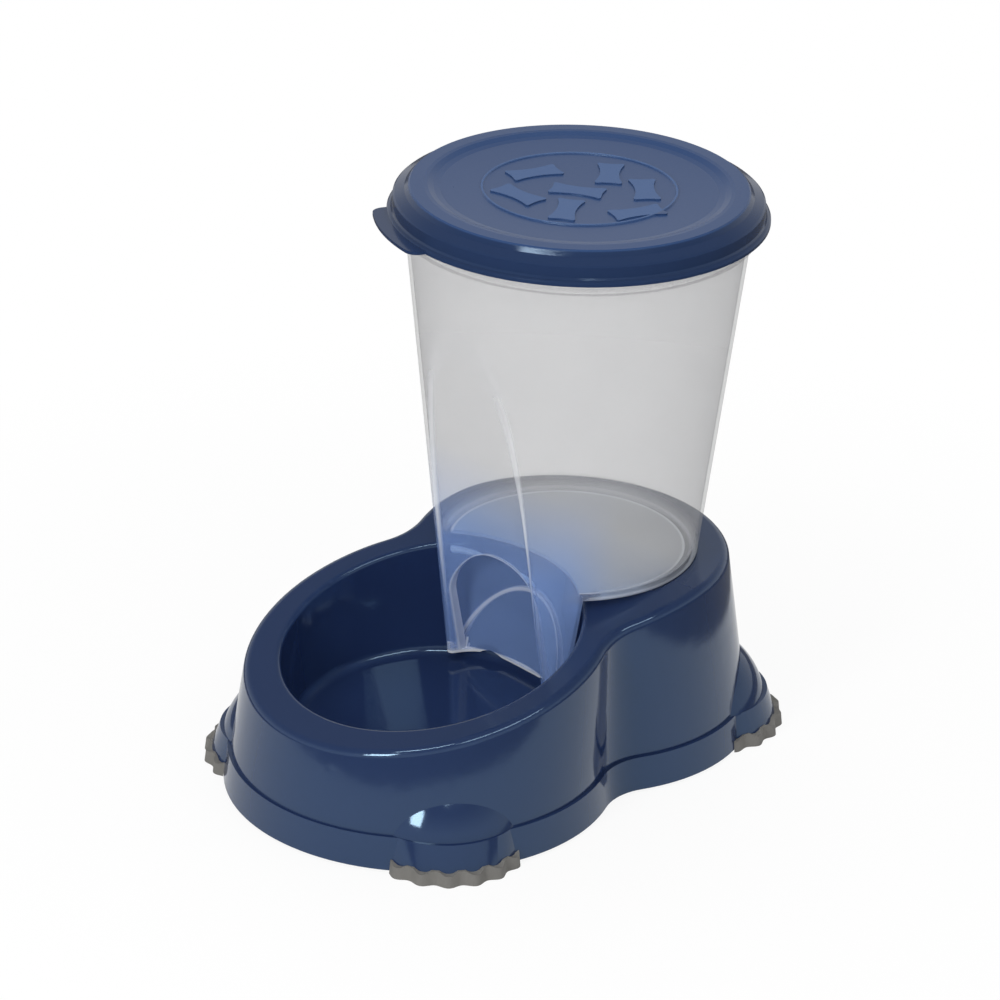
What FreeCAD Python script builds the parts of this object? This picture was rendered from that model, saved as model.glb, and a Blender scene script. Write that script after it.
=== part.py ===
import FreeCAD, Part
import math
import os

from FreeCAD import Vector

# A gravity feeder for dry pet food. A moulded stand carries a bowl in front and
# a clear hopper behind it. Food slides from the hopper through an arched mouth.
# Millimetres, Z up, the bowl towards -Y, the ground at Z = 0, X = 0 the plane of symmetry.

# Stand, plan of the lower edge
bowl_end_radius = 95.2
rear_end_radius = 87.5
rear_end_gap = 9.3
end_spacing = bowl_end_radius + rear_end_gap
neck_radius = 30.0
overall_length = bowl_end_radius + end_spacing + rear_end_radius
bowl_end_y = bowl_end_radius - overall_length / 2
rear_end_y = bowl_end_y + end_spacing

# Stand, side
stand_wall = 2.2
ground_gap = 1.5
step_height = 18.2
band_draft = 2.0
step_ledge = 1.6
deck_height = 97.5
bowl_crown_radius = bowl_end_radius - 8.7
rear_crown_radius = rear_end_radius - 6.5
crown_neck_radius = neck_radius - 5.0
bowl_crown_shift = 9.0
rear_crown_shift = 12.1

# Rim of the bowl, a sloping plane that runs up to the level deck
rim_width = 22.7
rim_fall = 21.5
rim_height = deck_height - rim_fall
rim_slope = 0.243
rim_blend_radius = 200.0
rim_outer_round = 4.0
rim_inner_round = 2.5

# Bowl
bowl_y = bowl_end_y + 3.8
bowl_radius = bowl_end_radius - rim_width
bowl_draft = 0.13
bowl_floor_height = 27.5
bowl_floor_slope = 0.1
bowl_corner_round = 5.0

# Hopper
hopper_y = rear_end_y - 9.9
hopper_wall = 1.6
hopper_floor = 1.8
hopper_foot_radius = rear_end_radius - 23.6
hopper_foot_round = 3.0
hopper_floor_round = 5.5
hopper_taper = 0.111
hopper_height = 183.3
seat_depth = 1.5
seat_wall = 2.4
seat_clearance = 0.4
rim_bead_drop = 15.0
rim_bead_height = 2.8
rim_bead_reach = 3.2
mouth_lip_reach = 2.3
mouth_lip_height = 2.6
hopper_base = deck_height - seat_depth
hopper_top = hopper_base + hopper_height
hopper_mouth_radius = hopper_foot_radius + hopper_taper * hopper_height

# Chute of the hopper, hanging in the back of the bowl
chute_bottom = bowl_floor_height + 10.0
chute_clearance = 1.5

# Front recess of the hopper, over the bowl, from under the chute to over the arch
recess_half_width = 33.5
recess_foot_y = bowl_y + bowl_radius - 10.5
recess_lean = 0.258
recess_height = 199.5
recess_depth = 18.8
recess_run_down = 6.0
recess_run_up = 20.0
crease_round = 2.4

# Mouth in the recess: straight jambs under half an ellipse
mouth_half_width = recess_half_width - 2.5
mouth_rise = 28.0
mouth_spring = deck_height - 23.5

# Slide panel: an arch on the chute's back that steps forward, more towards the bottom
slide_half_width = recess_half_width + 1.5
slide_rise = 44.0
slide_spring = chute_bottom - 4.5
slide_step = 0.5
slide_lean = 0.055

# Lid
lid_wall = 1.8
lid_clearance = 0.3
lid_inner_radius = hopper_mouth_radius + mouth_lip_reach + lid_clearance
lid_skirt_radius = lid_inner_radius + lid_wall + 0.15
lid_radius = lid_skirt_radius + 2.4
lid_plateau_radius = lid_skirt_radius - 7.6
lid_dish_radius = lid_plateau_radius - 15.2
lid_dish_depth = 1.8
lid_height = 14.2
lid_ring_radius = lid_dish_radius - 19.7
lid_relief = 0.7
lid_crown = 5.7
bone_length = 27.0
bone_width = 14.5
bone_waist = 9.2
bone_hollow = 1.2
bone_corner = 1.2
bone_places = [
    (-27.9, -3.2, 72),
    (-4.3, 23.9, 133),
    (20.9, 22.6, 142),
    (39.6, -0.3, 70),
    (16.1, -23.7, 125),
    (-11.9, -28.6, 2),
    (1.9, -3.2, 32),
]
tab_angle = -113.0
tab_half_angle = 17.0
tab_reach = 6.8
tab_thickness = 1.6

# Feet of the stand, placed round the centres of its two ends
foot_front_angle = -31.3
foot_front_inset = 25.7
foot_rear_angle = 44.7
foot_rear_inset = 22.9
skirt_radius = 36.6
skirt_top_radius = 37.4
skirt_lean = 6.5
dome_radius = 43.3
dome_centre_height = 5.7
dome_shift = 12.4
dome_root = 0.5

# Rubber pads
pad_height = 5.6
pad_radius = skirt_radius + 1.5
pad_inner_radius = skirt_radius - stand_wall - 3.4
pad_wave_count = 18
pad_wave = 1.2
pad_draft = 0.12
pad_scallop = 1.4
pad_scallop_radius = 7.0


def ring_arc(centre, radius, start, end, z):
    """Arc in a level plane from one angle to another, in degrees, by three points."""
    angles = (start, (start + end) / 2, end)
    points = []
    for angle in angles:
        a = math.radians(angle)
        points.append(Vector(centre[0] + radius * math.cos(a), centre[1] + radius * math.sin(a), z))
    return Part.Arc(*points).toShape()


def waist_wire(front_y, front_radius, back_y, back_radius, neck, z):
    """Figure-of-eight outline: two round ends joined by a hollow neck on each side."""
    gap = back_y - front_y
    to_front = front_radius + neck
    to_back = back_radius + neck
    along = (gap * gap + to_front * to_front - to_back * to_back) / (2 * gap)
    across = math.sqrt(to_front * to_front - along * along)
    neck_y = front_y + along
    front_turn = math.degrees(math.atan2(along, across))
    back_turn = math.degrees(math.atan2(back_y - neck_y, across))
    edges = [
        ring_arc((0, front_y), front_radius, -180 - front_turn, front_turn, z),
        ring_arc((across, neck_y), neck, 180 + front_turn, 180 - back_turn, z),
        ring_arc((0, back_y), back_radius, -back_turn, 180 + back_turn, z),
        ring_arc((-across, neck_y), neck, back_turn, -front_turn, z),
    ]
    return Part.Wire(edges)


def band_wire(z, offset):
    """Outline of the lower band at a height, moved inwards by an offset."""
    inset = band_draft * (z - ground_gap) / (step_height - ground_gap) + offset
    return waist_wire(bowl_end_y, bowl_end_radius - inset, rear_end_y, rear_end_radius - inset,
                      neck_radius + inset, z)


def wall_wire(z, offset):
    """Outline of the upper wall at a height, moved inwards by an offset."""
    share = (z - step_height) / (deck_height - step_height)
    inset = band_draft + step_ledge
    front_y = bowl_end_y + bowl_crown_shift * share
    back_y = rear_end_y - rear_crown_shift * share
    front = (bowl_end_radius - inset) * (1 - share) + bowl_crown_radius * share
    back = (rear_end_radius - inset) * (1 - share) + rear_crown_radius * share
    neck = (neck_radius + inset) * (1 - share) + crown_neck_radius * share
    return waist_wire(front_y, front - offset, back_y, back - offset, neck + offset, z)


def side_profile(points_and_arcs, half_width):
    """Solid of a closed outline drawn in the Y-Z plane, as wide as the stand."""
    face = Part.Face(Part.Wire(points_and_arcs))
    return face.extrude(Vector(2 * half_width, 0, 0))


def above_rim(drop):
    """Everything above the top of the stand: the sloping rim, a large arc and the level deck."""
    half = overall_length
    level = deck_height - drop
    meet_y = bowl_y + (deck_height - rim_height) / rim_slope + drop * math.tan(math.atan(rim_slope) / 2)
    angle = math.atan(rim_slope)
    radius = rim_blend_radius - drop
    tangent = radius * math.tan(angle / 2)
    start = Vector(-half, meet_y - tangent * math.cos(angle), level - tangent * math.sin(angle))
    end = Vector(-half, meet_y + tangent, level)
    middle = Vector(-half, end.y - radius * math.sin(angle / 2),
                    level - radius * (1 - math.cos(angle / 2)))
    low = Vector(-half, start.y - half, start.z - half * math.tan(angle))
    far = Vector(-half, half, level)
    roof = 3 * deck_height
    corner_back = Vector(-half, half, roof)
    corner_front = Vector(-half, low.y, roof)
    edges = [
        Part.LineSegment(low, start).toShape(),
        Part.Arc(start, middle, end).toShape(),
        Part.LineSegment(end, far).toShape(),
        Part.LineSegment(far, corner_back).toShape(),
        Part.LineSegment(corner_back, corner_front).toShape(),
        Part.LineSegment(corner_front, low).toShape(),
    ]
    return side_profile(edges, half)


def bowl_radius_at(z):
    return bowl_radius + bowl_draft * (z - rim_height)


def bowl_space(grow):
    """The hollow of the bowl, a cone with a sloping floor, grown by a wall where asked."""
    low = 0.0
    high = deck_height + 2 * rim_inner_round
    cone = Part.makeCone(bowl_radius_at(low) + grow, bowl_radius_at(high) + grow, high - low,
                         Vector(0, bowl_y, low))
    half = overall_length
    floor = bowl_floor_height - grow

    def corner(y, z):
        return Vector(-half, y, z)

    front = corner(bowl_y - half, floor - bowl_floor_slope * half)
    back = corner(bowl_y + half, floor + bowl_floor_slope * half)
    outline = [front, back, corner(bowl_y + half, 3 * half), corner(bowl_y - half, 3 * half), front]
    upper = Part.Face(Part.makePolygon(outline)).extrude(Vector(2 * half, 0, 0))
    space = cone.common(upper)
    lowest = [e for e in space.Edges if e.BoundBox.ZMax < bowl_floor_height + bowl_radius / 3]
    return space.makeFillet(bowl_corner_round + grow, lowest)


def foot_places():
    """Name, centre and inward direction of each foot."""
    rows = [
        ("front", bowl_end_y, bowl_end_radius - foot_front_inset, foot_front_angle),
        ("rear", rear_end_y, rear_end_radius - foot_rear_inset, foot_rear_angle),
    ]
    places = []
    for row, end_y, reach, angle in rows:
        a = math.radians(angle)
        for hand, side in (("right", 1), ("left", -1)):
            outward = Vector(side * math.cos(a), math.sin(a), 0)
            centre = Vector(0, end_y, 0) + outward * reach
            places.append(("foot_" + row + "_" + hand, centre, outward * -1))
    return places


def foot_bulge(centre, inward, offset):
    """A foot of the stand: a skirt that leans inwards up to the step and part of a ball above it."""
    bottom = ground_gap if offset == 0 else -ground_gap
    top = step_height if offset == 0 else step_height - stand_wall
    rings = []
    for z in (bottom, top):
        share = (z - ground_gap) / (step_height - ground_gap)
        radius = skirt_radius + (skirt_top_radius - skirt_radius) * share - offset
        middle = centre + inward * (skirt_lean * share) + Vector(0, 0, z)
        rings.append(Part.Wire(Part.makeCircle(radius, middle)))
    skirt = Part.makeLoft(rings, True, True)
    ball_centre = centre + inward * dome_shift + Vector(0, 0, dome_centre_height)
    ball = Part.makeSphere(dome_radius - offset, ball_centre)
    span = 2 * dome_radius
    keep = Part.makeBox(2 * span, 2 * span, span,
                        Vector(ball_centre.x - span, ball_centre.y - span, top - dome_root))
    return skirt.fuse(ball.common(keep))


def stand_block(offset):
    """The stand as one closed form, moved inwards by an offset for its hollow side."""
    bottom = ground_gap if offset == 0 else -ground_gap
    band_top = step_height if offset == 0 else step_height - stand_wall
    band = Part.makeLoft([band_wire(bottom, offset), band_wire(band_top, offset)], True, True)
    wall_bottom = (bottom + step_height) / 2
    wall_top = deck_height + rim_outer_round
    wall = Part.makeLoft([wall_wire(wall_bottom, offset), wall_wire(wall_top, offset)], True, True)
    wall = wall.cut(above_rim(offset))
    if offset == 0:
        edges = [e for e in wall.Edges if on_top(e)]
        wall = wall.makeFillet(rim_outer_round, edges)
    block = band.fuse(wall)
    for name, centre, inward in foot_places():
        block = block.fuse(foot_bulge(centre, inward, offset))
    return block


def top_level(y):
    """Height of the top of the stand at a place along it, without the blend."""
    return min(deck_height, rim_height + rim_slope * (y - bowl_y))


def on_top(edge):
    """True for an edge that follows the outer border of the stand's top."""
    box = edge.BoundBox
    if box.ZMin < step_height + rim_outer_round:
        return False
    first, last = edge.ParameterRange
    values = []
    for share in (0.2, 0.5, 0.8):
        p = edge.valueAt(first + share * (last - first))
        level = abs(p.z - top_level(p.y)) < rim_outer_round
        wide = box.XMax - box.XMin < 2 * deck_height or abs(p.x) < deck_height
        values.append(level and wide)
    across = box.YMax - box.YMin < 0.01 and box.ZMax - box.ZMin < 0.01
    return all(values) and not across


def hopper_radius_at(z):
    return hopper_foot_radius + hopper_taper * (z - hopper_base)


def hopper_cone(low, high, offset):
    return Part.makeCone(hopper_radius_at(low) - offset, hopper_radius_at(high) - offset,
                         high - low, Vector(0, hopper_y, low))


def make_stand():
    """One moulding, open below: band, wall, rim, bowl, deck and four hollow foot domes."""
    seat_radius = hopper_radius_at(deck_height) + seat_clearance
    seat = Part.makeCylinder(seat_radius, deck_height, Vector(0, hopper_y, hopper_base))
    under_seat = Part.makeCylinder(seat_radius + stand_wall, deck_height,
                                   Vector(0, hopper_y, hopper_base - seat_wall))
    outside = stand_block(0).cut(bowl_space(0))
    outside = outside.makeFillet(rim_inner_round, [e for e in outside.Edges if on_bowl_edge(e)])
    outside = outside.cut(seat)
    inside = stand_block(stand_wall).cut(under_seat).cut(bowl_space(stand_wall))
    return outside.cut(inside)


def on_bowl_edge(edge):
    """True for an edge where the bowl opens in the rim."""
    first, last = edge.ParameterRange
    for share in (0.1, 0.5, 0.9):
        p = edge.valueAt(first + share * (last - first))
        reach = math.hypot(p.x, p.y - bowl_y)
        if abs(reach - bowl_radius_at(p.z)) > 0.05:
            return False
        if p.z < (bowl_floor_height + rim_height) / 2:
            return False
    return edge.BoundBox.DiagonalLength > 2 * rim_inner_round and edge.BoundBox.ZMax < deck_height + 1


def recess_tool(back):
    """What is taken out of the hopper's front: a hollow that narrows downwards and leans back.

    A level section is y = back line - depth * |x / half width| ** power, and the depth and the
    power fall from the bottom of the chute to the top of the arch.
    """
    front = hopper_y - 2 * hopper_mouth_radius
    sections = []
    count = 7
    low = chute_bottom - recess_run_down
    high = chute_bottom + recess_height + recess_run_up
    for index in range(count):
        z = low + (high - low) * index / (count - 1)
        share = min(1.0, max(0.0, (z - chute_bottom) / recess_height))
        depth = recess_depth * (1 - share) ** 1.3
        power = 5.5 - 2.5 * share
        half = recess_half_width + back
        line = recess_foot_y + back - recess_lean * (z - chute_bottom)
        points = []
        for step in range(-6, 7):
            t = 1.2 * step / 6
            points.append(Vector(half * t, line - depth * abs(t) ** power, z))
        curve = Part.BSplineCurve()
        curve.interpolate(points)
        left = Vector(points[0].x, front, z)
        right = Vector(points[-1].x, front, z)
        edges = [
            curve.toShape(),
            Part.LineSegment(points[-1], right).toShape(),
            Part.LineSegment(right, left).toShape(),
            Part.LineSegment(left, points[0]).toShape(),
        ]
        sections.append(Part.Wire(edges))
    return Part.makeLoft(sections, True, False)


def arch_prism(half_width, spring, rise):
    """Arch drawn in the X-Z plane, drawn out along Y over the whole hopper."""
    front_y = hopper_y - 2 * hopper_mouth_radius
    run = 4 * hopper_mouth_radius
    middle = Vector(0, front_y, spring)
    side = middle + Vector(half_width, 0, 0)
    crown = middle + Vector(0, 0, rise)
    longer, shorter = (side, crown) if half_width > rise else (crown, side)
    oval = Part.Face(Part.Wire(Part.Ellipse(longer, shorter, middle).toShape()))
    round_part = oval.extrude(Vector(0, run, 0))
    depth = rise + chute_bottom
    straight = Part.makeBox(2 * half_width, run, depth, Vector(-half_width, front_y, spring - depth))
    return straight.fuse(round_part)


def slide_tool(grow):
    """The room behind the slide panel, grown by a wall for the panel's inner face."""
    low = chute_bottom / 2
    high = slide_spring + slide_rise + 2 * hopper_wall

    def reach(z):
        step = slide_step + slide_lean * (slide_spring + slide_rise - z)
        return bowl_radius_at(z) - chute_clearance - step - grow

    room = arch_prism(slide_half_width + grow, slide_spring, slide_rise + grow)
    ahead = Part.makeCone(reach(low), reach(high), high - low, Vector(0, bowl_y, low))
    behind = Part.makeBox(4 * slide_half_width, hopper_mouth_radius, high - low,
                          Vector(-2 * slide_half_width, recess_foot_y - hopper_mouth_radius / 2, low))
    return room.common(behind).cut(ahead)


def chute_block(offset):
    """The part of the hopper below the deck: between its own front and the back of the bowl."""
    bottom = chute_bottom + offset
    top = hopper_base + hopper_floor + hopper_floor_round + 1
    inset = chute_clearance + offset
    block = hopper_cone(bottom, top, offset)
    block = block.common(Part.makeCone(bowl_radius_at(bottom) - inset, bowl_radius_at(top) - inset,
                                       top - bottom, Vector(0, bowl_y, bottom)))
    return block.cut(slide_tool(offset))


def bin_block(bottom, top, offset, corner_round):
    """Tapered round bin with a rounded lower corner."""
    block = hopper_cone(bottom, top, offset)
    return block.makeFillet(corner_round, [e for e in block.Edges if e.BoundBox.ZMax < bottom + 1])


def round_creases(shape, offset, radius):
    """Rounds the edges where the recess cuts the bin's cone, at an offset inwards from its skin."""
    creases = []
    for edge in shape.Edges:
        first, last = edge.ParameterRange
        on_crease = edge.BoundBox.ZLength > hopper_wall / 2
        for share in (0.05, 0.3, 0.5, 0.7, 0.95):
            p = edge.valueAt(first + share * (last - first))
            gap = math.hypot(p.x, p.y - hopper_y) - hopper_radius_at(p.z) + offset
            if abs(gap) > 0.05 or abs(p.x) > recess_half_width + 2 * hopper_wall:
                on_crease = False
        if on_crease:
            creases.append(edge)
    return shape.makeFillet(radius, creases)


def make_hopper():
    """One thin clear moulding: tapered bin, rim bead, floor, chute, front recess and mouth."""
    bead_top = hopper_top - rim_bead_drop + rim_bead_height
    bead_radius = hopper_radius_at(bead_top) + rim_bead_reach
    bead = Part.makeCylinder(bead_radius, rim_bead_height,
                             Vector(0, hopper_y, bead_top - rim_bead_height))
    bead = bead.makeFillet(rim_bead_height / 3, bead.Edges[0:1] + bead.Edges[2:3])
    lip_radius = hopper_radius_at(hopper_top) + mouth_lip_reach
    lip = Part.makeCylinder(lip_radius, mouth_lip_height,
                            Vector(0, hopper_y, hopper_top - mouth_lip_height))
    outside = bin_block(hopper_base, hopper_top, 0, hopper_foot_round).fuse(chute_block(0))
    outside = round_creases(outside.cut(recess_tool(0)), 0, crease_round).fuse(bead).fuse(lip)
    inside = bin_block(hopper_base + hopper_floor, hopper_top + 1, hopper_wall, hopper_floor_round)
    inside = inside.fuse(chute_block(hopper_wall))
    front = recess_tool(hopper_wall)
    cavity = round_creases(inside.cut(front), hopper_wall, crease_round - hopper_wall)
    mouth = arch_prism(mouth_half_width, mouth_spring, mouth_rise).common(front).common(inside)
    return outside.cut(cavity).cut(mouth)


def bone():
    """Flat bone, sunk into the dish by half its depth: flared ends, a waist and hollow end faces."""
    x = bone_length / 2
    y = bone_width / 2
    z = -lid_relief
    waist = bone_waist / 2
    corners = [Vector(-x, y, z), Vector(x, y, z), Vector(x, -y, z), Vector(-x, -y, z)]
    middles = [Vector(0, waist, z), Vector(x - bone_hollow, 0, z),
               Vector(0, -waist, z), Vector(bone_hollow - x, 0, z)]
    edges = []
    for index, middle in enumerate(middles):
        edges.append(Part.Arc(corners[index], middle, corners[(index + 1) % 4]).toShape())
    shape = Part.Face(Part.Wire(edges)).extrude(Vector(0, 0, 2 * lid_relief))
    uprights = [e for e in shape.Edges if e.BoundBox.ZLength > lid_relief]
    return shape.makeFillet(bone_corner, uprights)


def make_lid():
    """One moulding: dished top with raised bones in a ring, stepped skirt and a lifting tab."""
    top = hopper_top + lid_clearance + lid_crown
    dish = top - lid_dish_depth
    bottom = top - lid_height
    seat = hopper_top + lid_clearance
    inner = lid_inner_radius
    ring = lid_ring_radius
    outline = [
        (0, dish),
        (ring - 1.0, dish),
        (ring - 0.4, dish + lid_relief),
        (ring + 0.4, dish + lid_relief),
        (ring + 1.0, dish),
        (lid_dish_radius, dish),
        (lid_dish_radius + 3, dish + 0.5),
        (lid_dish_radius + 6, top - 0.2),
        (lid_dish_radius + 8, top),
        (lid_plateau_radius - 0.8, top),
        (lid_plateau_radius, top - 0.6),
        (lid_plateau_radius + 1.8, top - 2.6),
        (lid_skirt_radius - 1.2, top - 4.9),
        (lid_skirt_radius - 0.3, top - 5.7),
        (lid_skirt_radius, top - 10.6),
        (lid_skirt_radius + 0.6, top - 11.6),
        (lid_radius - 0.7, top - 12.2),
        (lid_radius, top - 12.9),
        (lid_radius, bottom),
        (lid_radius - lid_wall, bottom),
        (lid_skirt_radius - lid_wall + 0.4, bottom + 1.8),
        (inner, bottom + 2.4),
        (inner, seat),
        (lid_plateau_radius - lid_wall, seat),
        (lid_plateau_radius - lid_wall, top - lid_wall),
        (lid_dish_radius + 7, top - lid_wall),
        (lid_dish_radius, dish - lid_wall),
        (0, dish - lid_wall),
    ]
    wire = Part.makePolygon([Vector(r, 0, z) for r, z in outline] + [Vector(0, 0, dish)])
    body = Part.Face(wire).revolve(Vector(0, 0, 0), Vector(0, 0, 1), 360)
    reach = lid_radius + tab_reach
    chord = reach * math.sin(math.radians(tab_half_angle))
    tab = Part.makeBox(tab_reach * 2.2, 2 * chord, tab_thickness,
                       Vector(reach - tab_reach * 2.2, -chord, bottom))
    tab = tab.common(Part.makeCylinder(reach, 4 * lid_wall, Vector(0, 0, bottom - lid_wall)))
    corners = [e for e in tab.Edges
               if e.BoundBox.ZMax - e.BoundBox.ZMin > tab_thickness * 0.9
               and e.BoundBox.XMin > lid_radius]
    tab = tab.makeFillet(tab_reach * 0.9, corners)
    tab = tab.cut(Part.makeCylinder(lid_radius - lid_wall / 2, 4 * lid_wall,
                                    Vector(0, 0, bottom - lid_wall)))
    tab.rotate(Vector(0, 0, 0), Vector(0, 0, 1), tab_angle)
    body = body.fuse(tab)
    for x, y, turn in bone_places:
        shape = bone()
        shape.rotate(Vector(0, 0, 0), Vector(0, 0, 1), turn)
        shape.translate(Vector(x, y, dish))
        body = body.fuse(shape)
    body.translate(Vector(0, hopper_y, 0))
    return body


def wavy_wire(radius, z):
    """Closed level line round a foot whose radius swings as a cosine."""
    points = []
    per_wave = 8
    for index in range(pad_wave_count * per_wave):
        a = 2 * math.pi * index / (pad_wave_count * per_wave)
        r = radius + pad_wave * math.cos(pad_wave_count * a)
        points.append(Vector(r * math.cos(a), r * math.sin(a), z))
    curve = Part.BSplineCurve()
    curve.interpolate(points, PeriodicFlag=True)
    return Part.Wire(curve.toShape())


def make_pad(centre, stand, band):
    """Soft foot: a scalloped ring of rubber pressed onto a skirt, grooved for the skirt's edge."""
    crest = pad_height + pad_scallop
    top_radius = pad_radius - pad_draft * crest
    ring = Part.makeLoft([wavy_wire(pad_radius, 0), wavy_wire(top_radius, crest)], True, True)
    ring = ring.cut(Part.makeCylinder(pad_inner_radius, 3 * crest, Vector(0, 0, -crest)))
    for index in range(pad_wave_count):
        a = 2 * math.pi * index / pad_wave_count
        along = Vector(math.cos(a), math.sin(a), 0)
        start = Vector(0, 0, pad_height + pad_scallop_radius) + along * (pad_inner_radius / 2)
        ring = ring.cut(Part.makeCylinder(pad_scallop_radius, pad_radius, start, along))
    ring.translate(centre)
    return ring.cut(band).cut(stand)


os.makedirs("parts", exist_ok=True)
stand_shape = make_stand()
band_shape = Part.makeLoft([band_wire(-ground_gap, 0), band_wire(step_height, 0)], True, True)
shapes = {
    "stand": stand_shape,
    "hopper": make_hopper(),
    "lid": make_lid(),
}
mirror_base = Vector(0, 0, 0)
mirror_axis = Vector(1, 0, 0)
for name, centre, inward in foot_places():
    if name.endswith("right"):
        pad = make_pad(centre, stand_shape, band_shape)
        shapes[name] = pad
        shapes[name.replace("right", "left")] = pad.mirror(mirror_base, mirror_axis)
for name, shape in shapes.items():
    print(name, shape.ShapeType, shape.isValid(), len(shape.Solids), round(shape.Volume, 1))
    shape.exportStep(os.path.join("parts", name + ".step"))
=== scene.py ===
import math

import bpy
from mathutils import Matrix, Vector

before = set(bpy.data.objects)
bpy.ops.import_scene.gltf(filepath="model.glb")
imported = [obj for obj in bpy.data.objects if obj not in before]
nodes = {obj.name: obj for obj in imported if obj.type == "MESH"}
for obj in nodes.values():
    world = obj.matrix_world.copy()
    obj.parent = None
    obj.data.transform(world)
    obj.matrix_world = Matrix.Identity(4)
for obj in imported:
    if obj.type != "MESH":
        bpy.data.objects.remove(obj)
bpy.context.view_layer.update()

scene = bpy.context.scene

# Viewpoint: a long lens in front of the feeder's right side, a little above it.
# The angles, the distance and the tilt were fitted to the picture.
view_azimuth = math.radians(46.648)
view_height = math.radians(25.486)
view_tilt = math.radians(1.661)
focal_share = 4.5177
view_distance = 2.25886
aim_across = 0.02963
aim_up = -0.10871
aim_y = 0.0454

back = Vector((math.sin(view_azimuth) * math.cos(view_height),
               -math.cos(view_azimuth) * math.cos(view_height),
               math.sin(view_height)))
right = Vector((math.cos(view_azimuth), math.sin(view_azimuth), 0))
up = back.cross(right)
tilted_right = right * math.cos(view_tilt) + up * math.sin(view_tilt)
tilted_up = up * math.cos(view_tilt) - right * math.sin(view_tilt)
camera_data = bpy.data.cameras.new("view")
camera = bpy.data.objects.new("view", camera_data)
scene.collection.objects.link(camera)
camera_data.sensor_width = 36
camera_data.lens = focal_share * camera_data.sensor_width
camera_data.clip_start = 0.05
camera_data.clip_end = 20
place = back * view_distance - tilted_right * aim_across - tilted_up * aim_up + Vector((0, aim_y, 0))
camera.matrix_world = Matrix((
    (tilted_right.x, tilted_up.x, back.x, place.x),
    (tilted_right.y, tilted_up.y, back.y, place.y),
    (tilted_right.z, tilted_up.z, back.z, place.z),
    (0, 0, 0, 1),
))
scene.camera = camera


# Stand: one injection moulding with a polished skin, in plastic taken to be navy polypropylene.
# It holds the bowl in front and the hopper's seat behind. Its gloss keeps faint flow marks,
# and dust-fine scuffs from being handled.
class Wire:
    """A socket of a shader tree that adds Math nodes when it is used in a sum."""

    def __init__(self, tree, socket):
        self.tree = tree
        self.socket = socket

    def _math(self, operation, *values):
        node = self.tree.nodes.new("ShaderNodeMath")
        node.operation = operation
        for index, value in enumerate(values):
            if isinstance(value, Wire):
                self.tree.links.new(value.socket, node.inputs[index])
            else:
                node.inputs[index].default_value = value
        return Wire(self.tree, node.outputs[0])

    def __add__(self, other):
        return self._math("ADD", self, other)

    def __radd__(self, other):
        return self._math("ADD", other, self)

    def __sub__(self, other):
        return self._math("SUBTRACT", self, other)

    def __rsub__(self, other):
        return self._math("SUBTRACT", other, self)

    def __mul__(self, other):
        return self._math("MULTIPLY", self, other)

    def __rmul__(self, other):
        return self._math("MULTIPLY", other, self)

    def __truediv__(self, other):
        return self._math("DIVIDE", self, other)

    def __pow__(self, other):
        return self._math("POWER", self, other)

    def size(self):
        """The value without its sign."""
        return self._math("ABSOLUTE", self)

    def at_least(self, other):
        """The larger of the two values."""
        return self._math("MAXIMUM", self, other)

    def rise(self, low, high):
        """0 below the low value, 1 above the high one and even in between."""
        wire = (self - low) / (high - low)
        wire.socket.node.use_clamp = True
        return wire

    def fall(self, low, high):
        """1 below the low value, 0 above the high one and even in between."""
        return 1.0 - self.rise(low, high)


class Shading:
    """A node tree. Its node method adds every node but the Math nodes, which a Wire adds."""

    def __init__(self, tree):
        self.tree = tree

    def node(self, kind, settings=None, **sockets):
        """Adds a node: its settings first, then values or links for its named sockets."""
        node = self.tree.nodes.new(kind)
        for key, value in (settings or {}).items():
            setattr(node, key, value)
        for key, value in sockets.items():
            self.feed(node.inputs[key.replace("_", " ")], value)
        return node

    def feed(self, target, value):
        """Links a socket or a Wire to the target, or sets it to a constant."""
        if isinstance(value, Wire):
            self.tree.links.new(value.socket, target)
        elif isinstance(value, bpy.types.NodeSocket):
            self.tree.links.new(value, target)
        else:
            target.default_value = value


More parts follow.
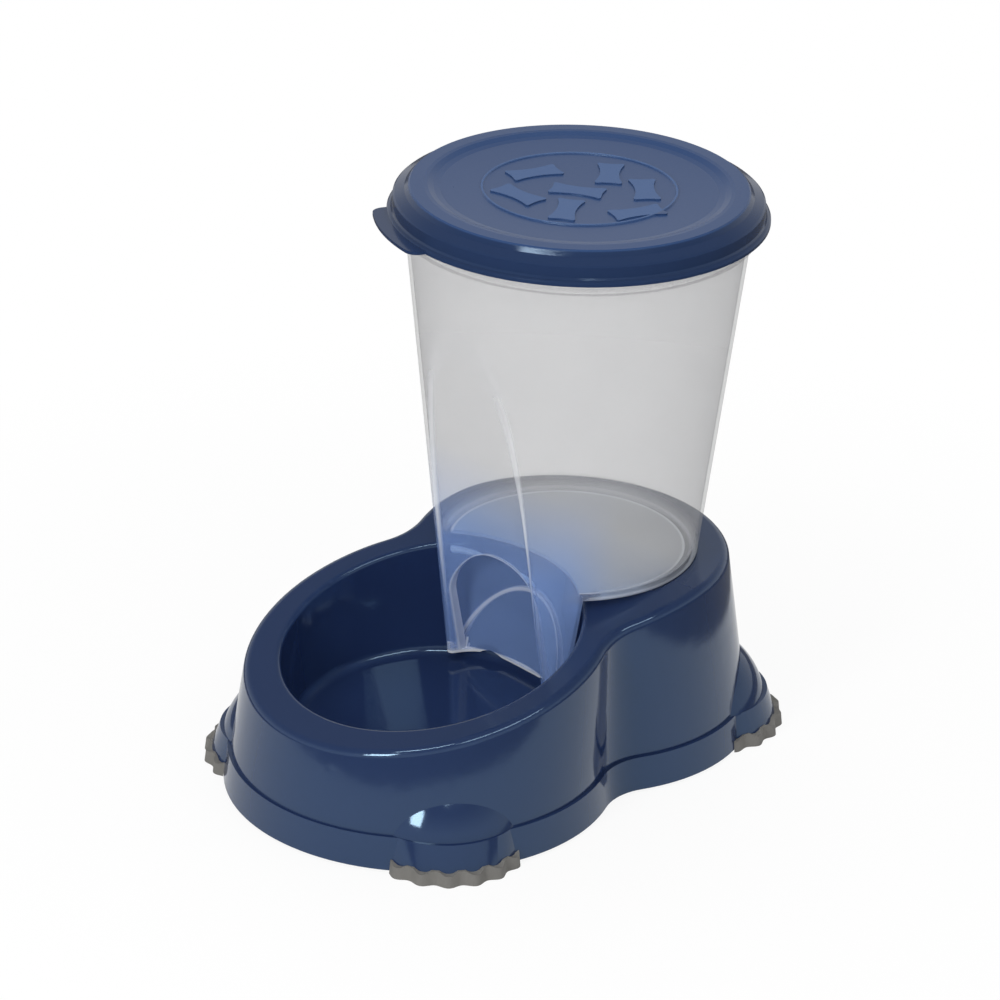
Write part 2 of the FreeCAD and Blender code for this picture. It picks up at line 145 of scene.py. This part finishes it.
class Finish(Shading):
    """A new material with its own node tree and one Principled shader."""

    def __init__(self, name, **constants):
        self.material = bpy.data.materials.new(name)
        self.material.use_nodes = True
        super().__init__(self.material.node_tree)
        self.shader = self.tree.nodes["Principled BSDF"]
        for key, value in constants.items():
            self.shader.inputs[key.replace("_", " ")].default_value = value
        self.place = self.node("ShaderNodeTexCoord").outputs["Object"]

    def noise(self, waves, detail, roughness=0.5):
        """A value from 0 to 1 that wanders over the object, with this many waves per metre."""
        node = self.node("ShaderNodeTexNoise", Scale=waves, Detail=detail, Roughness=roughness,
                         Vector=self.place)
        return Wire(self.tree, node.outputs["Fac"])

    def between(self, share, first, second):
        """A colour that goes from the first to the second as the share goes from 0 to 1."""
        node = self.node("ShaderNodeMix", {"data_type": "RGBA"}, Factor=share)
        self.feed(node.inputs[6], first)
        self.feed(node.inputs[7], second)
        return node.outputs[2]

    def bump(self, height, distance):
        """Feeds a height, in the given depth, to the shader's normal."""
        node = self.node("ShaderNodeBump", Height=height, Distance=distance, Strength=1.0)
        self.output("Normal", node.outputs["Normal"])

    def output(self, name, value):
        """Feeds a socket of the shader."""
        self.feed(self.shader.inputs[name], value)

    def axes(self):
        """The place on the object along X, Y and Z, in metres."""
        node = self.node("ShaderNodeSeparateXYZ", Vector=self.place)
        return [Wire(self.tree, node.outputs[name]) for name in "XYZ"]

    def slant(self, blend):
        """0 where a face is seen straight on, rising to 1 where it is seen along its skin."""
        node = self.node("ShaderNodeLayerWeight", Blend=blend)
        return Wire(self.tree, node.outputs["Facing"])

    def wear_on(self, *names):
        """Puts the material on the named nodes in place of the one they came with."""
        for name in names:
            for slot in nodes[name].material_slots:
                slot.material = self.material


navy_deep = (0.013, 0.026, 0.08, 1)
navy_pale = (0.016, 0.031, 0.091, 1)
polish = 0.06
flow_dulls = 0.03
scuffs_dull = 0.04
ripple_depth = 0.00004

gloss = Finish("navy_gloss", IOR=1.68, Specular_Tint=(0.55, 0.8, 1, 1))
flow = gloss.noise(waves=14, detail=3)
gloss.output("Base Color", gloss.between(flow, navy_deep, navy_pale))
scuffs = gloss.noise(waves=420, detail=4, roughness=0.6)
gloss.output("Roughness", polish + flow_dulls * flow + scuffs_dull * scuffs)
gloss.bump(gloss.noise(waves=90, detail=2), ripple_depth)
gloss.wear_on("stand")


# Hopper: a thin moulding in milky clear plastic, taken to be polypropylene, that stands in the seat.
# Cut edges, the floor's corner and the creases of the recess carry painted highlights, mixed towards
# white, and the chute carries a painted blue that stands in for light from the navy bowl around it.
hopper_y = 0.0462
foot_radius = 0.0639
taper = 0.111
base = 0.096
chute_bottom = 0.0375
recess_foot_y = 0.0174
recess_lean = 0.258
recess_height = 0.1995
recess_depth = 0.0188
recess_half_width = 0.0335
depth_fade = 1.3
foot_power = 5.5
power_drop = 2.5

milky = Finish("clear_milky", IOR=1.4)
x, y, z = milky.axes()
cloud = milky.noise(waves=30, detail=3)
from_axis = (x ** 2.0 + (y - hopper_y) ** 2.0) ** 0.5

# The crease is where the skin of the recess and the cone of the bin are both close; it gets a painted
# highlight.
crease_width = (0.001, 0.0028)
crease_top_z = (0.12, 0.24)
crease_back_y = (0.012, 0.014)
share = ((z - chute_bottom) / recess_height).at_least(0.0)
recess_line = recess_foot_y - recess_lean * (z - chute_bottom)
recess_curve = (x.size() / recess_half_width) ** (foot_power - power_drop * share)
recess_dip = recess_depth * ((1.0 - share).at_least(0.0) ** depth_fade) * recess_curve
to_recess = (y - recess_line + recess_dip).size()
to_cone = (foot_radius + taper * (z - base) - from_axis).size()
crease = (to_recess + to_cone).fall(*crease_width) * z.fall(*crease_top_z) * y.fall(*crease_back_y)


def arch_line(half_width, spring, rise, width):
    """1 on the outline of an arch in the X-Z plane, falling to 0 at a width from it."""
    over = (z - spring).at_least(0.0) / rise
    reach = ((x / half_width) ** 2.0 + over ** 2.0) ** 0.5
    return ((reach - 1.0).size() * half_width).fall(width / 3, width)


# The mouth is cut through the front skin, and the slide panel behind it has an arched edge. Both edges, and
# the lip at the chute's foot, get a painted highlight.
front_bow = 8.3
front_skin = (0.0025, 0.003)
mouth_half_width = recess_half_width - 0.0025
mouth_spring = 0.074
mouth_rise = 0.028
mouth_line = 0.0008
panel_half_width = recess_half_width + 0.0019
panel_spring = chute_bottom - 0.0045
panel_rise = 0.044
panel_line = 0.0012
panel_top_z = (0.08, 0.082)
lip_z = (0.0388, 0.0394)
ahead = (y - recess_line + front_bow * x * x).fall(*front_skin)
mouth_edge = arch_line(mouth_half_width, mouth_spring, mouth_rise, mouth_line) * ahead
panel_edge = arch_line(panel_half_width, panel_spring, panel_rise, panel_line)
panel_edge = panel_edge * (1.0 - ahead) * z.fall(*panel_top_z)
lip = z.fall(*lip_z)

# The floor shows as a pale disc. The ring round it, the whiter corner and the thin band at the foot are
# painted highlights.
ring_radius = 0.0574
ring_width = (0.0004, 0.001)
ring_low_z = (0.097, 0.0975)
ring_high_z = (0.1, 0.101)
ring_front_y = (0.004, 0.01)
band_radius = (0.0595, 0.061)
band_z = (0.0985, 0.0995)
band_front_y = (0.009, 0.011)
floor_radius = (0.0575, 0.0585)
floor_z = (0.099, 0.1)
corner_z = (0.099, 0.106)
corner_front_y = (0.012, 0.016)
underside_z = (0.0955, 0.0965)
corner_weight = 0.6
front_loss = 0.7
floor_ring = (from_axis - ring_radius).size().fall(*ring_width) * z.fall(*ring_high_z)
floor_ring = floor_ring * z.rise(*ring_low_z) * y.rise(*ring_front_y)
foot_band = from_axis.rise(*band_radius) * z.fall(*band_z) * y.rise(*band_front_y)
bottom = from_axis.fall(*floor_radius) * z.fall(*floor_z)
corner = from_axis.rise(*floor_radius) * z.fall(*corner_z) * y.rise(*corner_front_y)
bottom = bottom.at_least(corner_weight * corner) * z.rise(*underside_z) * (1.0 - front_loss * ahead)

mouth_weight = 0.65
panel_weight = 0.6
ring_weight = 0.7
band_weight = 0.5
# Painted highlights: the crease, the mouth and panel edges, the lip, the floor ring and the foot band are
# mixed towards white in the colour.
edge_highlights = crease.at_least(mouth_weight * mouth_edge).at_least(panel_weight * panel_edge)
edge_highlights = edge_highlights.at_least(lip).at_least(ring_weight * floor_ring).at_least(band_weight * foot_band)

# Painted light: the chute and the lower front of the bin are mixed towards the bowl's blue, and the front of
# the floor towards a paler blue, standing in for the light the navy stand throws into the milky plastic.
blue_top_z = (0.105, 0.16)
blue_back_y = (0.0, 0.02)
floor_shade_y = (0.02, 0.075)
clear_deep = (0.46, 0.46, 0.47, 1)
clear_pale = (0.51, 0.51, 0.52, 1)
painted_bowl_blue = (0.29, 0.45, 0.86, 1)
floor_white = (0.94, 0.97, 1, 1)
painted_floor_blue = (0.5, 0.68, 1, 1)
highlight_white = (0.85, 0.88, 0.93, 1)
painted_blue_share = (z.fall(*blue_top_z) * y.fall(*blue_back_y)).at_least(z.fall(*underside_z))
clear = milky.between(cloud, clear_deep, clear_pale)
tinted = milky.between(painted_blue_share, clear, painted_bowl_blue)
floor_colour = milky.between(y.fall(*floor_shade_y), floor_white, painted_floor_blue)
tinted = milky.between(bottom, tinted, floor_colour)
milky.output("Base Color", milky.between(edge_highlights, tinted, highlight_white))

smoothness = 0.18
skin_dulls = 0.1
ripple_depth = 0.00008
milky.output("Roughness", smoothness + skin_dulls * milky.noise(waves=160, detail=3))
milky.bump(milky.noise(waves=45, detail=2), ripple_depth)

wall_haze = 0.19
cloud_haze = 0.04
slant_haze = 0.14
edge_haze = 0.5
floor_haze = 0.45
blue_haze = 0.05
haze = wall_haze + cloud_haze * cloud + slant_haze * milky.slant(0.3) ** 2.0
milky.output("Alpha", haze + edge_haze * edge_highlights + floor_haze * bottom + blue_haze * painted_blue_share)
milky.wear_on("hopper")


# Lid: a moulding in the same navy plastic, pushed over the hopper's lip, duller on top than on its
# skirt. Its top is painted paler than the skirt, as painted light falling from above. The bones and
# the ring stand up from the dish and are etched paler. A shallow bump makes the flat dish look a
# little more hollow towards its middle.
raised_z = (0.2837, 0.2841)
raised_radius = (0.0466, 0.047)
skirt_radius = (0.081, 0.0815)
dish_radius = 0.0655
dish_sag = 14000.0
skin_depth = 0.00002
painted_top_deep = (0.024, 0.055, 0.15, 1)
painted_top_pale = (0.028, 0.061, 0.162, 1)
etched_blue = (0.06, 0.11, 0.245, 1)
skirt_navy = (0.015, 0.031, 0.085, 1)
top_dullness = 0.26
skirt_shines = 0.18
etching_dulls = 0.2
grain_dulls = 0.06

satin = Finish("navy_satin", IOR=1.5, Specular_Tint=(0.6, 0.8, 1, 1))
x, y, z = satin.axes()
drift = satin.noise(waves=18, detail=3)
from_axis = (x ** 2.0 + (y - hopper_y) ** 2.0) ** 0.5
raised = z.rise(*raised_z) * from_axis.fall(*raised_radius)
skirt = from_axis.rise(*skirt_radius)
# Painted light: the top's navy is paler than the skirt's, as if lit from above.
painted_top = satin.between(drift, painted_top_deep, painted_top_pale)
etched = satin.between(raised, painted_top, etched_blue)
satin.output("Base Color", satin.between(skirt, etched, skirt_navy))
grain = satin.noise(waves=600, detail=3)
satin.output("Roughness", top_dullness - skirt_shines * skirt + etching_dulls * raised + grain_dulls * grain)
sag = dish_sag * (dish_radius ** 2 - from_axis ** 2.0).at_least(0.0)
satin.bump(satin.noise(waves=1400, detail=2) - sag, skin_depth)
satin.wear_on("lid")


# Feet: four soft rings of grey rubber that are pushed onto the skirts and stop the feeder sliding.
# They have a fine matt grain and a paler bloom of dust.
rubber_deep = (0.15, 0.146, 0.135, 1)
rubber_pale = (0.195, 0.19, 0.18, 1)
rubber_dullness = 0.6
grain_dulls = 0.15
grain_depth = 0.0001

rubber = Finish("grey_rubber", IOR=1.45)
grain = rubber.noise(waves=900, detail=4, roughness=0.7)
dust = rubber.noise(waves=60, detail=3)
rubber.output("Base Color", rubber.between(dust, rubber_deep, rubber_pale))
rubber.output("Roughness", rubber_dullness + grain_dulls * grain)
rubber.bump(grain, grain_depth)
rubber.wear_on("foot_front_left", "foot_front_right", "foot_rear_left", "foot_rear_right")


# Studio floor: a wide flat sheet of white paper that keeps a faint shadow of the feeder. Reflections
# see it bright close to the feeder and dim farther out, which draws the dark shapes in the gloss.
half_floor = 4.0
paper_white = (0.9, 0.9, 0.9, 1)
dim_grey = (0.14, 0.14, 0.14, 1)
near_middle_y = -0.04
near_half_length = 0.06
near_floor = (0.236, 0.252)
near_dimness = 0.2
shadow_share = 0.1
shadow_reach = (0.15, 0.5)

sweep = bpy.data.meshes.new("sweep")
corners = [(-half_floor, -half_floor, 0), (half_floor, -half_floor, 0),
           (half_floor, half_floor, 0), (-half_floor, half_floor, 0)]
sweep.from_pydata(corners, [], [(0, 1, 2, 3)])
floor = bpy.data.objects.new("sweep", sweep)
scene.collection.objects.link(floor)


def rays(shading):
    """1 on rays that come from the camera, off a glossy skin or through a clear one, each by itself."""
    seen = shading.node("ShaderNodeLightPath")
    return [Wire(shading.tree, seen.outputs["Is " + kind + " Ray"])
            for kind in ("Camera", "Glossy", "Transmission")]


def blend(shading, share, first, second):
    """A shader that goes from the first to the second as the share goes from 0 to 1."""
    node = shading.node("ShaderNodeMixShader")
    for number, value in enumerate((share, first, second)):
        shading.feed(node.inputs[number], value)
    return node.outputs[0]


paper = Finish("paper", Base_Color=paper_white, Roughness=0.9)
white = paper.node("ShaderNodeEmission")
grey = paper.node("ShaderNodeEmission", Color=dim_grey)
camera_ray, glossy_ray, through_ray = rays(paper)
x, y, z = paper.axes()
beyond_ends = ((y - near_middle_y).size() - near_half_length).at_least(0.0)
reach = (x ** 2.0 + beyond_ends ** 2.0) ** 0.5
outside = reach.rise(*near_floor)
dimmed = (near_dimness + (1.0 - near_dimness) * outside) * glossy_ray
shown = camera_ray.at_least(glossy_ray).at_least(through_ray)
shown = shown * ((1.0 - shadow_share) + shadow_share * reach.rise(*shadow_reach))
glow = blend(paper, dimmed, white.outputs[0], grey.outputs[0])
lit = blend(paper, shown, paper.shader.outputs[0], glow)
paper.feed(paper.tree.nodes["Material Output"].inputs["Surface"], lit)
sweep.materials.append(paper.material)


# Studio light: an even white room, seen as pure white by the camera. Reflections see it darken
# towards the ceiling. A tall softbox on the left, a wide one on the right and a thin rod high on the
# left make the highlights, and a large lamp high behind lights the lid but shows in no reflection.
plain_light = 0.4
glossy_gain = 0.27
ceiling_loss = 0.44
ceiling_z = (0.25, 0.65)

world = bpy.data.worlds.new("studio")
scene.world = world
world.use_nodes = True
room = Shading(world.node_tree)
camera_ray, glossy_ray, through_ray = rays(room)
direction = room.node("ShaderNodeTexCoord").outputs["Generated"]
towards = room.node("ShaderNodeSeparateXYZ", Vector=direction)
ceiling = Wire(room.tree, towards.outputs["Z"]).rise(*ceiling_z)
level = plain_light + (1.0 - plain_light) * camera_ray.at_least(through_ray)
level = level + glossy_ray * (glossy_gain - ceiling_loss * ceiling)
background = room.tree.nodes["Background"]
room.feed(background.inputs["Strength"], level)
room.feed(background.inputs["Color"], (1, 1, 1, 1))


def softbox(name, azimuth, height, distance, width, tall, watts):
    """A flat lamp on a sphere round the feeder's middle, turned to face it."""
    data = bpy.data.lights.new(name, "AREA")
    data.shape = "RECTANGLE"
    data.size = width
    data.size_y = tall
    data.energy = watts
    lamp = bpy.data.objects.new(name, data)
    scene.collection.objects.link(lamp)
    a = math.radians(azimuth)
    h = math.radians(height)
    aim = Vector((0, 0, 0.1))
    away = Vector((math.sin(a) * math.cos(h), -math.cos(a) * math.cos(h), math.sin(h)))
    lamp.location = aim + away * distance
    lamp.rotation_euler = away.to_track_quat("Z", "Y").to_euler()
    return lamp


softbox("window", azimuth=14, height=25, distance=1.3, width=0.3, tall=0.42, watts=6.5)
softbox("strip", azimuth=78, height=50, distance=1.4, width=0.9, tall=0.22, watts=3.5)
softbox("rod", azimuth=18, height=60, distance=1.4, width=0.5, tall=0.1, watts=2.5)
overhead = softbox("overhead", azimuth=-150, height=65, distance=1.6, width=1.0, tall=1.0, watts=8)
overhead.visible_glossy = False

scene.view_settings.view_transform = "Standard"
